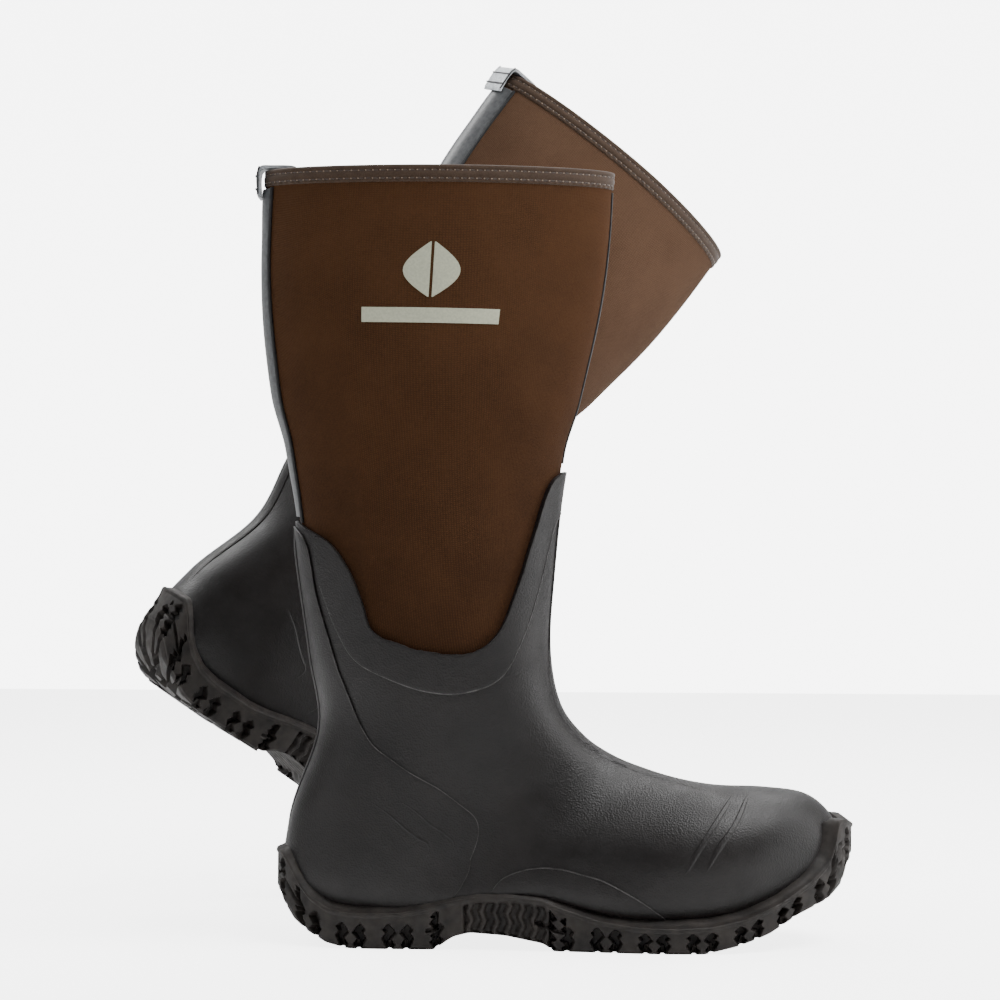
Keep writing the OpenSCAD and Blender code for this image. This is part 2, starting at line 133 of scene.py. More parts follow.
# front x, front z, back x, back z, middle y, outer and inner half width,
# share of the way back at the widest place, fullness of the front and of the back
SECTIONS = np.array([
    [183, 420, -7, 420, 0, 41, 41, 0.5, 1.8, 1.8],
    [178.5, 363, -9, 365, 0, 42, 42, 0.5, 1.8, 1.8],
    [168, 306, -4, 308, 0, 42, 42, 0.5, 1.85, 1.85],
    [157, 252, 6.5, 254, 0, 42, 42, 0.5, 1.9, 1.9],
    [151.5, 200, 13, 202, 0, 42, 42, 0.5, 2, 2],
    [149.5, 160, 20, 155, 0, 41, 41, 0.5, 2.1, 2.1],
    [155, 130, 25, 115, 0, 39.5, 39.5, 0.5, 2.1, 2.2],
    [168, 112, 9, 66, 0, 38, 38, 0.5, 2.1, 2.3],
    [184, 101, 10, 27, 0, 37.5, 37.5, 0.55, 2.1, 2.8],
    [201, 94, 58, 15, 0, 38, 37, 0.6, 2.1, 4.6],
    [220, 88.5, 130, 22, -1, 42, 38, 0.62, 2.1, 4.6],
    [243, 85.5, 195, 12.5, -1, 49, 45, 0.62, 2.1, 4.6],
    [268, 84.5, 245, 13.5, 1, 46, 44, 0.6, 2.1, 4.6],
    [291, 80.5, 285, 26, 7, 33, 32, 0.55, 2.2, 3.4],
    [305, 69, 304, 41, 9, 17, 16, 0.5, 2.2, 2.4],
    [309, 55, 309, 55, 9.5, 0, 0, 0.5, 2, 2],
])
TOE = 14.85
RUBBER = 2.4
NEOPRENE = 4.6
KNIT = 1.6
GAP = 0.2
# Depths at the rim are counted in 57ths of the first section interval, about 0.7 mm each there
RIM_SPAN = 57
MERGE = 2e-6
MERGE_COARSE = 1e-5
# Edges that turn by more degrees than this are rounded
SHARP = 50


def mix(a, b, t):
    return a + (b - a) * t


def smooth(t):
    u = np.clip(t, 0, 1)
    return u * u * (3 - 2 * u)


def bend(points, t):
    """Place along a smooth curve through rows of numbers, at any fraction of a row."""
    points = np.asarray(points, float)
    last = len(points) - 1
    i = np.clip(np.floor(t).astype(int), 0, last - 1)
    f = (t - i)[..., None]
    a, b, c, d = (points[np.clip(i + k, 0, last)] for k in (-1, 0, 1, 2))
    return 0.5 * (2 * b + (c - a) * f + (2 * a - 5 * b + 4 * c - d) * f ** 2
                  + (3 * b - a - 3 * c + d) * f ** 3)


def skin(s, a):
    """Point of the outer skin: angle 0 is the front, 90 the outer side, 180 the back."""
    s, a = np.broadcast_arrays(np.asarray(s, float), np.radians(np.asarray(a, float)))
    r = bend(SECTIONS, s)
    c, q = np.cos(a), np.sin(a)
    fullness = np.where(c >= 0, r[..., 8], r[..., 9])
    size = (np.abs(c) ** fullness + np.abs(q) ** fullness) ** (-1 / fullness)
    out = size * q * np.where(q >= 0, r[..., 5], r[..., 6])
    share = r[..., 7] - size * c * np.where(c >= 0, r[..., 7], 1 - r[..., 7])
    return np.stack([mix(r[..., 0], r[..., 2], share), r[..., 4] - out,
                     mix(r[..., 1], r[..., 3], share)], -1)


def outward(s, a):
    s, a = np.broadcast_arrays(np.asarray(s, float), np.asarray(a, float))
    down = skin(s + 0.04, a) - skin(s - 0.04, a)
    around = skin(s, a + 1.5) - skin(s, a - 1.5)
    n = np.cross(around, down)
    return n / np.linalg.norm(n, axis=-1, keepdims=True)


def over(s, a, h):
    return skin(s, a) + outward(s, a) * np.asarray(h, float)[..., None]


def sunk(s):
    return -(RUBBER + GAP) * smooth((np.asarray(s, float) - 2.2) / 0.55)


def slack(s, a):
    """The soft shaft's slight swells and hollows, which die away at the rim and the collar."""
    s, a = np.broadcast_arrays(np.asarray(s, float), np.asarray(a, float))
    wave = (0.55 * np.sin(2.1 * s + a / 23 + 0.6) + 0.4 * np.sin(3.7 * s - a / 31 + 2)
            + 0.3 * np.sin(1.3 * s + a / 11))
    return wave * smooth((s - 0.25) / 0.5) * smooth((3.6 - s) / 0.9)


def on_shaft(s, a, h):
    return over(s, a, h + sunk(s) + slack(s, a))


# ---- Modelling helpers ----

def only(piece):
    bpy.ops.object.select_all(action="DESELECT")
    piece.select_set(True)
    bpy.context.view_layer.objects.active = piece


def edit(piece):
    only(piece)
    bpy.ops.object.mode_set(mode="EDIT")
    bpy.ops.mesh.select_all(action="SELECT")


def done():
    bpy.ops.object.mode_set(mode="OBJECT")


def apply(piece, kind, **settings):
    only(piece)
    step = piece.modifiers.new(kind.lower(), kind)
    for key, value in settings.items():
        setattr(step, key, value)
    bpy.ops.object.modifier_apply(modifier=step.name)


def grid(name, points):
    """A sheet of quads whose vertices lie at rows of points, in boot millimetres."""
    rows, cols = points.shape[:2]
    bpy.ops.object.select_all(action="DESELECT")
    bpy.ops.mesh.primitive_grid_add(x_subdivisions=cols - 1, y_subdivisions=rows - 1, size=1)
    piece = bpy.context.object
    piece.name = name
    piece.data.name = name
    place = (points.reshape(-1, 3) - (HEEL_X, 0, 0)) * MM
    piece.data.vertices.foreach_set("co", place.astype(np.float32).ravel())
    piece.data.update()
    return piece


def close(piece, threshold=MERGE):
    """Merges a ring's ends and turns the faces out."""
    edit(piece)
    bpy.ops.mesh.remove_doubles(threshold=threshold)
    bpy.ops.mesh.normals_make_consistent(inside=False)
    done()


def even(edge, count):
    """Rows of (section, angle) respaced evenly along a smooth curve through them."""
    fine = bend(edge, np.linspace(0, len(edge) - 1, 40 * len(edge)))
    place = skin(fine[:, 0], fine[:, 1])
    run = np.r_[0, np.cumsum(np.linalg.norm(np.diff(place, axis=0), axis=1))]
    at = np.linspace(0, run[-1], count)
    return np.stack([np.interp(at, run, fine[:, 0]), np.interp(at, run, fine[:, 1])], -1)


def both_ways(edge):
    """An edge down the outer side, carried on round the inner side."""
    edge = np.asarray(edge, float)
    other = edge[-2::-1].copy()
    other[:, 1] = 360 - other[:, 1]
    return np.r_[edge, other]


def joined(name, pieces):
    only(pieces[0])
    for piece in pieces[1:]:
        piece.select_set(True)
    bpy.ops.object.join()
    pieces[0].name = name
    return pieces[0]


def rounded(piece, width, segments=3):
    """Rounds a piece's sharp edges, in millimetres."""
    apply(piece, "BEVEL", width=width * MM, segments=segments, limit_method="ANGLE",
          angle_limit=math.radians(SHARP))


def slab(name, s, a, low, high, rounding=0.5, place=over):
    """A closed solid over the skin between two heights, with rounded rims."""
    inner = place(s, a, np.broadcast_to(low, s.shape))
    outer = place(s, a, np.broadcast_to(high, s.shape))
    piece = joined(name, [grid(name, outer), grid(name + "_under", inner)])
    stitch_rims(piece)
    if rounding:
        rounded(piece, rounding)
    return piece


def stitch_rims(piece):
    """Bridges the rims of an outer sheet and the sheet under it."""
    edit(piece)
    bpy.ops.mesh.select_all(action="DESELECT")
    bpy.ops.mesh.select_mode(type="EDGE")
    bpy.ops.mesh.select_non_manifold()
    bpy.ops.mesh.bridge_edge_loops()
    bpy.ops.mesh.select_mode(type="VERT")
    bpy.ops.mesh.select_all(action="SELECT")
    bpy.ops.mesh.normals_make_consistent(inside=False)
    done()


# ---- Finishes ----

class Finish:
    """A procedural material whose nodes are added one by one."""

    def __init__(self, name, colour, roughness, **sockets):
        self.material = bpy.data.materials.new(name)
        self.material.use_nodes = True
        self.tree = self.material.node_tree
        self.shader = self.tree.nodes["Principled BSDF"]
        self.set(self.shader, {"Base Color": (*colour, 1), "Roughness": roughness, **sockets})
        self.place = self.add("ShaderNodeAttribute", attribute_name="place").outputs["Vector"]
        self.relief = None

    def add(self, kind, inputs=None, **settings):
        node = self.tree.nodes.new(kind)
        for key, value in settings.items():
            setattr(node, key, value)
        self.set(node, inputs or {})
        return node

    def set(self, node, inputs):
        for key, value in inputs.items():
            if isinstance(value, bpy.types.NodeSocket):
                self.tree.links.new(value, node.inputs[key])
            else:
                node.inputs[key].default_value = value

    def noise(self, size_mm, detail=2.0, where=None, stretch=None):
        where = where or self.place
        if stretch:
            where = self.add("ShaderNodeMapping", {"Vector": where, "Scale": stretch}).outputs[0]
        node = self.add("ShaderNodeTexNoise",
                        {"Vector": where, "Scale": 1 / (size_mm * MM), "Detail": detail})
        return node.outputs["Fac"]

    def cells(self, size_mm, feature="F1"):
        node = self.add("ShaderNodeTexVoronoi",
                        {"Vector": self.place, "Scale": 1 / (size_mm * MM)}, feature=feature)
        return node.outputs["Distance"]

    def ramp(self, value, low, high, out_low, out_high):
        node = self.add("ShaderNodeMapRange", {"Value": value, "From Min": low, "From Max": high,
                                               "To Min": out_low, "To Max": out_high})
        return node.outputs["Result"]

    def math(self, how, a, b=0.0):
        return self.add("ShaderNodeMath", {0: a, 1: b}, operation=how).outputs[0]

    def mix(self, amount, one, other):
        node = self.add("ShaderNodeMix", {"Factor": amount}, data_type="RGBA")
        for key, value in ((6, one), (7, other)):
            self.set(node, {key: value if isinstance(value, bpy.types.NodeSocket) else (*value, 1)})
        return node.outputs[2]

    def colour(self, socket):
        self.set(self.shader, {"Base Color": socket})

    def roughness(self, socket):
        self.set(self.shader, {"Roughness": socket})

    def height(self):
        return self.add("ShaderNodeSeparateXYZ", {"Vector": self.place}).outputs["Z"]

    def mottle(self, size_mm, detail, dark, light, low=0.35):
        """Colours the finish in soft patches between two tones."""
        patches = self.ramp(self.noise(size_mm, detail), low, 1 - low, 0, 1)
        self.colour(self.mix(patches, dark, light))

    def cross_ribs(self, pitch_mm, depth_mm):
        """Fine level ribs, as on a woven strap."""
        turns = self.math("MULTIPLY", self.height(), 2 * math.pi / (pitch_mm * MM))
        self.bump(self.math("SINE", turns), depth_mm, 0.5)

    def bump(self, height, depth_mm, strength=1.0):
        inputs = {"Height": height, "Distance": depth_mm * MM, "Strength": strength}
        if self.relief:
            inputs["Normal"] = self.relief
        self.relief = self.add("ShaderNodeBump", inputs).outputs["Normal"]
        self.set(self.shader, {"Normal": self.relief})


def moulded_rubber():
    f = Finish("shell_rubber", (0.01, 0.008, 0.0078), 0.45, **{"Specular IOR Level": 0.42})
    f.mottle(40, 3, (0.0048, 0.0036, 0.0034), (0.0095, 0.0075, 0.0071))
    f.roughness(f.ramp(f.noise(14, 3), 0.3, 0.7, 0.4, 0.52))
    f.bump(f.noise(25, 2), 0.5, 0.2)
    f.bump(f.cells(1.0), 0.25, 0.6)
    f.bump(f.noise(0.6, 3), 0.12, 0.6)
    return f.material


def edge_highlight_rubber():
    # Pale rubber for the edge beads: the light colour is a painted highlight along the moulded edges.
    f = Finish("painted_edge_highlight", (0.04, 0.037, 0.036), 0.4)
    f.mottle(6, 3, (0.018, 0.0165, 0.016), (0.06, 0.056, 0.055))
    f.bump(f.noise(0.8, 2), 0.08, 0.5)
    return f.material


def tread_rubber():
    f = Finish("tread_rubber", (0.022, 0.019, 0.017), 0.6, **{"Specular IOR Level": 0.4})
    f.mottle(9, 4, (0.0095, 0.0074, 0.0063), (0.026, 0.021, 0.0178))
    f.roughness(f.ramp(f.noise(5, 3), 0.3, 0.7, 0.5, 0.72))
    f.bump(f.noise(4, 3), 0.4, 0.35)
    f.bump(f.noise(0.6, 2), 0.08, 0.4)
    return f.material


def knit_face(name, dark, light):
    """Neoprene faced with a fine jersey: close wales, a matte nap and faint blotches, painted lighter
    towards the top and darker towards the bottom as painted light and shade.
    """
    f = Finish(name, dark, 0.88, **{"Sheen Weight": 0.1, "Sheen Roughness": 0.5,
                                   "Sheen Tint": (*light, 1), "Specular IOR Level": 0.15})
    uv = f.add("ShaderNodeUVMap").outputs[0]
    wales = f.add("ShaderNodeTexWave", {"Vector": uv, "Scale": 58.0, "Distortion": 0.6,
                                        "Detail": 1.0, "Detail Scale": 4.0},
                  bands_direction="X").outputs["Fac"]
    courses = f.add("ShaderNodeTexWave", {"Vector": uv, "Scale": 78.0, "Distortion": 0.5,
                                          "Detail": 1.0, "Detail Scale": 4.0},
                    bands_direction="Y").outputs["Fac"]
    loops = f.math("MULTIPLY", wales, courses)
    fuzz = f.noise(0.8, 3)
    blotch = f.noise(28, 3)
    tone = f.math("ADD", f.math("MULTIPLY", loops, 0.4), f.math("MULTIPLY", fuzz, 0.5))
    tone = f.math("ADD", tone, f.math("MULTIPLY", blotch, 0.35))
    # Painted light and shade: the knit grows lighter with height and darker low down, standing in for
    # the light from above.
    tone = f.math("ADD", tone, f.ramp(f.height(), 0.16, 0.42, -0.14, 0.2))
    f.colour(f.mix(f.ramp(tone, 0.3, 0.75, 0, 1), dark, light))
    f.bump(blotch, 1.2, 0.12)
    f.bump(loops, 0.22, 0.6)
    f.bump(fuzz, 0.12, 0.4)
    return f.material


def folded_tape():
    f = Finish("rim_tape", (0.06, 0.036, 0.023), 0.85,
               **{"Sheen Weight": 0.2, "Specular IOR Level": 0.25})
    fuzz = f.noise(0.7, 3)
    tone = f.math("ADD", fuzz, f.math("MULTIPLY", f.noise(6, 2), 0.6))
    f.colour(f.mix(f.ramp(tone, 0.55, 1.05, 0, 1), (0.04, 0.022, 0.0125), (0.066, 0.04, 0.0245)))
    f.bump(f.noise(2.2, 2), 0.25, 0.3)
    f.bump(fuzz, 0.12, 0.45)
    return f.material


def strap_face():
    """Grey satin webbing with fine cross ribs."""
    f = Finish("strap_grey", (0.13, 0.14, 0.145), 0.38, **{"Specular IOR Level": 0.55})
    f.mottle(3, 3, (0.06, 0.0625, 0.065), (0.1, 0.104, 0.108))
    f.cross_ribs(0.9, 0.05)
    f.bump(f.noise(0.6, 2), 0.05, 0.4)
    return f.material


def tab_face():
    f = Finish("tab_silver", (0.42, 0.44, 0.46), 0.34, **{"Metallic": 0.35})
    f.mottle(1.5, 3, (0.32, 0.34, 0.36), (0.52, 0.54, 0.56))
    f.cross_ribs(0.8, 0.06)
    return f.material


def piping():
    f = Finish("piping_black", (0.012, 0.012, 0.013), 0.45)
    f.roughness(f.ramp(f.noise(2, 2), 0.3, 0.7, 0.38, 0.6))
    f.bump(f.noise(0.6, 2), 0.06, 0.5)
    return f.material


def thread(name, colour):
    f = Finish(name, colour, 0.6, **{"Sheen Weight": 0.3})
    dark, light = (tuple(share * c for c in colour) for share in (0.7, 1.25))
    f.colour(f.mix(f.noise(0.5, 2), dark, light))
    f.bump(f.noise(0.25, 1), 0.05, 0.6)
    return f.material


def print_ink():
    f = Finish("leaf_ink", (0.57, 0.58, 0.44), 0.5)
    f.mottle(1.2, 4, (0.42, 0.43, 0.32), (0.5, 0.51, 0.385))
    f.bump(f.noise(0.7, 3), 0.06, 0.5)
    return f.material


def brushed_knit():
    f = Finish("lining_knit", (0.07, 0.065, 0.06), 0.95, **{"Sheen Weight": 0.4})
    fuzz = f.noise(1.1, 4)
    f.colour(f.mix(fuzz, (0.045, 0.041, 0.038), (0.11, 0.103, 0.095)))
    f.bump(f.cells(1.6), 0.3, 0.5)
    f.bump(fuzz, 0.2, 0.6)
    return f.material


def pressed(name, dark, light, grain_mm, depth_mm, roughness):
    """Foam, board and other inner stuff that reads the frame's own coordinates."""
    f = Finish(name, dark, roughness)
    f.place = f.add("ShaderNodeTexCoord").outputs["Object"]
    f.mottle(grain_mm, 4, dark, light, low=0.3)
    f.bump(f.cells(grain_mm), depth_mm, 0.5)
    return f.material


# ---- Rubber pieces ----

# Upper edge of the rubber shell on the outer side, from the shin round to the back
COLLAR = [
    [2.93, 0], [3.04, 22], [3.56, 34], [4.14, 44], [4.72, 55], [5, 70], [4.97, 90],
    [4.84, 105], [4.68, 117], [4.34, 121], [3.98, 127], [3.7, 138], [3.55, 158], [3.48, 180],
]
ROUND = 168


def foot_rows(rows):
    """Sections and angles from the collar edge to the toe, which even out as they go down."""
    ring = even(both_ways(COLLAR), ROUND + 1)
    t = np.linspace(0, 1, rows + 1)[:, None]
    turn = np.linspace(0, 360, ROUND + 1)
    return mix(ring[:, 0], TOE, t), mix(ring[:, 1], turn, np.minimum(1, 2 * t))


def layer(name, s, a, low, high, rounding=0.4):
    """Sock-shaped layer: an outer and an inner sheet closed at the toe and joined at the rim."""
    outer = grid(name, over(s, a, high))
    inner = grid(name + "_in", over(s, a, low))
    for sheet in (outer, inner):
        cap_toe(sheet)
    piece = joined(name, [outer, inner])
    stitch_rims(piece)
    if rounding:
        rounded(piece, rounding, 2)
    return piece


TOE_REACH = 13


def cap_toe(sheet):
    """Closes the small hole at the toe end of a sheet."""
    edit(sheet)
    bpy.ops.mesh.remove_doubles(threshold=MERGE)
    bpy.ops.mesh.select_all(action="DESELECT")
    bpy.ops.mesh.select_mode(type="EDGE")
    bpy.ops.mesh.select_non_manifold()
    done()
    vertices = sheet.data.vertices
    nearest = max(v.co.x for v in vertices) - TOE_REACH * MM
    hole = [e for e in sheet.data.edges
            if e.select and min(vertices[i].co.x for i in e.vertices) >= nearest]
    for part in (*sheet.data.edges, *vertices):
        part.select = False
    for e in hole:
        e.select = True
        for i in e.vertices:
            vertices[i].select = True
    bpy.ops.object.mode_set(mode="EDIT")
    bpy.ops.mesh.edge_face_add()
    bpy.ops.mesh.poke()
    bpy.ops.mesh.select_mode(type="VERT")
    done()


def rubber_shell():
    s, a = foot_rows(130)
    return layer("right_shell", s, a, np.full(s.shape, -RUBBER), np.zeros(s.shape), 0.5)


BAND_TOP = COLLAR[:-2] + [[3.64, 148]]
BAND_FOOT = [
    [3.34, 0], [3.45, 14], [3.74, 21], [4.14, 28], [4.74, 39], [5.38, 56], [5.59, 76],
    [5.53, 94], [5.3, 112], [5.03, 128], [4.64, 138], [4.25, 145], [4.08, 148],
]
COUNTER_TOP = [
    [9.31, 123], [9.2, 112], [8.92, 95], [8.47, 82], [8, 77], [7.54, 81], [7.04, 91], [6.55, 107],
    [6.2, 122], [5.82, 132], [5.32, 138], [4.79, 144], [4.27, 151], [3.7, 157], [3.54, 180],
]
COUNTER_FOOT = [
    [9.32, 124.5], [9.28, 126], [9.2, 128], [9.1, 131], [9, 133], [8.9, 136], [8.8, 138], [8.6, 140],
    [8.4, 141], [8.2, 141], [8, 142], [7.8, 143], [7.62, 147], [7.44, 157], [7.3, 180],
]
ARCH_TOP = [
    [9.6, 120], [9.53, 112], [9.5, 104], [9.6, 98], [9.75, 97], [9.96, 99], [10.17, 102],
    [10.44, 105], [10.85, 115], [11.1, 124], [11.24, 130],
]
ARCH_FOOT = [
    [9.66, 122], [9.7, 123], [9.76, 124], [9.86, 124], [9.98, 124], [10.12, 125], [10.28, 127],
    [10.46, 130], [10.74, 132], [11.02, 133], [11.22, 133],
]
OVERLAY = 0.9
ROOT = -0.9


def across(top, foot, cols, rows):
    """Sections and angles of a field between two edges."""
    t = np.linspace(0, 1, cols)
    upper = bend(top, t * (len(top) - 1))
    lower = bend(foot, t * (len(foot) - 1))
    k = np.linspace(0, 1, rows)[:, None, None]
    field = mix(upper, lower, k)
    return field[..., 0], field[..., 1]


def turned(edge):
    edge = np.asarray(edge, float).copy()
    edge[:, 1] = -edge[:, 1]
    return edge


def one_side_and_back(edge):
    """An edge of the outer side with its mirror image before it, through the front."""
    edge = np.asarray(edge, float)
    return np.r_[turned(edge)[:0:-1], edge]


def collar_band():
    s, a = across(one_side_and_back(BAND_TOP), one_side_and_back(BAND_FOOT), 420, 14)
    ragged = np.random.default_rng(5).normal(0, 1, s.shape[1])
    ragged = np.convolve(ragged, [0.25, 0.5, 0.25], "same")
    s[0] += -0.012 + 0.006 * ragged
    return slab("right_collar_band", s, a, ROOT, OVERLAY, 0.35)


def heel_counter():
    s, a = across(both_ways(COUNTER_TOP), both_ways(COUNTER_FOOT), 240, 50)
    return slab("right_heel_counter", s, a, ROOT, OVERLAY + 0.2, 0.4)


def heel_spine():
    s, a = np.meshgrid(np.linspace(3.56, 7.55, 80), np.linspace(174.5, 185.5, 11), indexing="ij")
    ends = smooth((s - 3.5) / 0.3) * smooth((7.5 - s) / 1.2)
    crown = np.sqrt(np.maximum(0, 1 - ((a - 180) / 6) ** 2))
    return slab("right_heel_spine", s, a, -0.4, OVERLAY + 0.1 + (1.4 * crown) * ends, 0)


def strip_angle(s):
    upper = mix(6, 15, smooth(s - 4.6))
    vamp = mix(15, 25, smooth(s - 10))
    return np.where(s < 4.6, 6, np.where(s < 10, upper, vamp))


def instep_strip():
    s = np.linspace(3.3, 11.3, 170)[:, None]
    share = np.linspace(-1, 1, 17)
    a = strip_angle(s) * share
    s = np.broadcast_to(s, a.shape).copy()
    rise = (OVERLAY + 0.1) * smooth((11.2 - s) / 1.6) * smooth((1 - np.abs(share)) / 0.12)
    return slab("right_instep_strip", s, a, ROOT, rise - 0.15, 0)


# The two flex ribs down each side of the vamp: (section, angle)
RIBS = [
    [[11.34, 10], [11.28, 30], [11.21, 50], [11.16, 72], [11.16, 84], [11.12, 98]],
    [[11.63, 20], [11.6, 29], [11.55, 52], [11.45, 68], [11.42, 82], [11.4, 96]],
]


def ridge(name, s, a, radius, lift):
    """A rounded line that stands a little over the skin: a bevelled curve made a mesh."""
    ends = np.sin(np.pi * np.linspace(0, 1, len(s))) ** 0.35
    path = over(s, a, lift - 0.6 * radius * (1 - ends))
    return tube(name, path, radius * np.maximum(ends, 0.15))


def tube(name, path, radius):
    """A closed tube along a path, in boot millimetres; radius may vary along it."""
    line = bpy.data.curves.new(name, "CURVE")
    line.dimensions = "3D"
    line.bevel_depth = MM
    line.bevel_resolution = 2
    line.use_fill_caps = True
    run = line.splines.new("POLY")
    run.points.add(len(path) - 1)
    radius = np.broadcast_to(radius, (len(path),))
    for point, place, r in zip(run.points, (path - (HEEL_X, 0, 0)) * MM, radius):
        point.co = (*place, 1)
        point.radius = r
    piece = bpy.data.objects.new(name, line)
    bpy.context.scene.collection.objects.link(piece)
    only(piece)
    bpy.ops.object.convert(target="MESH")
    piece = bpy.context.object
    piece.name = name
    return piece


def flex_ribs():
    made = []
    for side in (1, -1):
        for line in RIBS:
            path = bend(line, np.linspace(0, len(line) - 1, 60))
            made.append(ridge("rib", path[:, 0], side * path[:, 1], 2.2, -1.25))
    return joined("right_flex_ribs", made)


# Soft moulded steps inside the heel counter: (section, angle) points
COUNTER_LINES = [
    [[6.4, 127], [6.73, 117], [7.25, 100], [7.7, 91], [8.05, 87], [8.42, 89], [8.91, 107],
     [9.15, 124]],
    [[6.5, 134], [6.78, 123], [7.29, 107], [7.88, 96], [8.21, 95], [8.67, 110], [8.86, 127]],
]


def counter_lines():
    made = []
    for side in (1, -1):
        for line in COUNTER_LINES:
            path = bend(line, np.linspace(0, len(line) - 1, 60))
            made.append(ridge("line", path[:, 0], side * path[:, 1], 1.6, OVERLAY - 1.05))
    return joined("right_counter_lines", made)


def edge_beads():
    """The thin bead along the moulded edges of the counter, the guards and the band, coloured pale as a
    painted highlight on those edges.
    """
    made = []
    for edge, sides in ((both_ways(COUNTER_TOP), (1,)), (ARCH_TOP, (1, -1)),
                        (one_side_and_back(BAND_FOOT), (1,))):
        for side in sides:
            path = bend(edge, np.linspace(0, len(edge) - 1, 220))
            made.append(ridge("bead", path[:, 0], side * path[:, 1], 0.42, OVERLAY - 0.12))
    return joined("right_edge_beads", made)


def arch_guards():
    s, a = across(ARCH_TOP, ARCH_FOOT, 90, 14)
    outer = slab("right_arch_guards", s, a, ROOT, OVERLAY, 0.3)
    inner = slab("guard", s, -a, ROOT, OVERLAY, 0.3)
    return joined("right_arch_guards", [outer, inner])


# ---- Outsole ----

# Ground line of the tread and upper edge of the outsole, in side view
GROUND = np.array([
    [-6, 38], [4, 25], [12, 14], [20, 8], [30, 2.5], [42, 0], [88, 0], [98, 7], [107, 9.3],
    [126, 8], [147, 4], [152, 0], [232, 0], [250, 4], [268, 10], [284, 19], [301, 26], [309, 33],
    [319, 52],
])
RAND = np.array([
    [-6, 51], [5, 50], [9, 44], [15, 34], [21, 27], [31, 21], [44, 19], [69, 19.5], [82, 22],
    [97, 26], [112, 28.5], [128, 29], [146, 27], [157, 23], [176, 17], [196, 14], [215, 13.5],
    [236, 14.5], [253, 18], [274, 26], [291, 36], [302, 46], [306, 57], [307, 68], [312, 68],
    [318, 64], [324, 60],
])
LIP = 5
BUMPER = 3.5
STATIONS = 1000
AXIS_ENDS = (42, 258)
ARCH_X = 127
ARCH_HALF = 23
RIB_PITCH = 6.9
LUG_PITCH = 25.2
# Distance from the arch's end to the first lug, towards the toe and towards the heel
FIRST_LUG = (17.6, 22.5)
CUT = 5.4
TREAD = 5.0
# Heights up a void are counted from 0 to this, whatever the void's real height
VOID = 9.5
RIM_OF_TREAD = 22.5
WALL_ROWS = 44
UNDER_ROWS = 40
# How far outside the wall the search for the shell starts
RUN_UP = 20


def sole_outline():
    """Evenly spaced places round the sole's wall, from the toe back along the outer side."""
    heel = np.linspace(112, 248, 60)
    sides = np.linspace(14.8, 8.3, 120)
    lip = LIP + BUMPER * smooth((sides - 12.5) / 2.2)
    toe = over(np.full(2, TOE), np.array([90.0, 270.0]), np.full(2, LIP + BUMPER))[:, :2].mean(0)
    outer = over(sides, 90, lip)[:, :2]
    inner = over(sides[::-1], 270, lip[::-1])[:, :2]
    back = over(7.7, heel, np.full(60, LIP))[:, :2]
    ring = np.r_[outer, back, inner, [toe + (1.2, 0)]]
    closed = np.r_[ring, ring[:1]]
    run = np.r_[0, np.cumsum(np.linalg.norm(np.diff(closed, axis=0), axis=1))]
    at = np.linspace(0, run[-1], STATIONS, endpoint=False)
    place = np.stack([np.interp(at, run, closed[:, k]) for k in (0, 1)], -1)
    return calm(place, 60), run[-1]


def calm(values, times):
    """Evens out values that follow each other round a ring."""
    for _ in range(times):
        values = (np.roll(values, 1, 0) + 2 * values + np.roll(values, -1, 0)) / 4
    return values


def step_in(v, soft):
    return smooth(v / soft + 0.5)


def sole_numbers(place, length):
    """For each station: side, distance along the wall from the arch, and lug pitch there."""
    run = np.arange(STATIONS) * length / STATIONS
    tip = place[:, 0].argmax()
    back = place[:, 0].argmin()
    run = (run - run[tip]) % length
    half = run[back]
    outer = run <= half
    # Distance from the toe tip, going back along either side
    from_tip = np.where(outer, run, length - run)
    total = np.where(outer, half, length - half)
    arch = np.zeros(STATIONS)
    for side in (True, False):
        mine = np.where(outer == side)[0]
        order = mine[np.argsort(place[mine, 0])]
        arch[mine] = np.interp(ARCH_X, place[order, 0], from_tip[order])
    fore = from_tip < arch
    along = np.abs(from_tip - arch) - ARCH_HALF
    start = np.where(fore, *FIRST_LUG)
    span = np.where(fore, arch, total - arch) - ARCH_HALF - start
    pitch = span / (np.round(2 * span / LUG_PITCH) / 2)
    away = np.abs(((along - start) / pitch + 0.5) % 1 - 0.5) * pitch
    solid = ~fore & (along < start - pitch / 2)
    return from_tip - arch, away, pitch, solid


def lug_cut(away, pitch, h):
    """How far a place is in the voids beside a lug, at a height from 0 to VOID."""
    block = np.interp(h, [0, 1.6, 4, 6, 7.4, VOID], [7.2, 6.0, 4.4, 6.4, 4.8, 7.9])
    star = np.interp(h, [0, 1.6, 4, 6, 7.8, VOID], [3.4, 1.6, 4.0, 1.2, 2.8, 5.4])
    return step_in(np.minimum(away - block, pitch / 2 - away - star), 0.8)


def sole_spokes(place):
    """From each station in to the sole's middle line: the line's place, heading out and length."""
    x, y = place.T
    axis_x = np.clip(x, *AXIS_ENDS)
    mid = np.zeros(STATIONS)
    for k in range(STATIONS):
        near = np.argsort(np.abs(x - axis_x[k]))[:40]
        mid[k] = (y[near].max() + y[near].min()) / 2
    axis = np.stack([axis_x, calm(mid, 80)], -1)
    away = place - axis
    reach = np.linalg.norm(away, axis=1)
    return axis, away / reach[:, None], reach


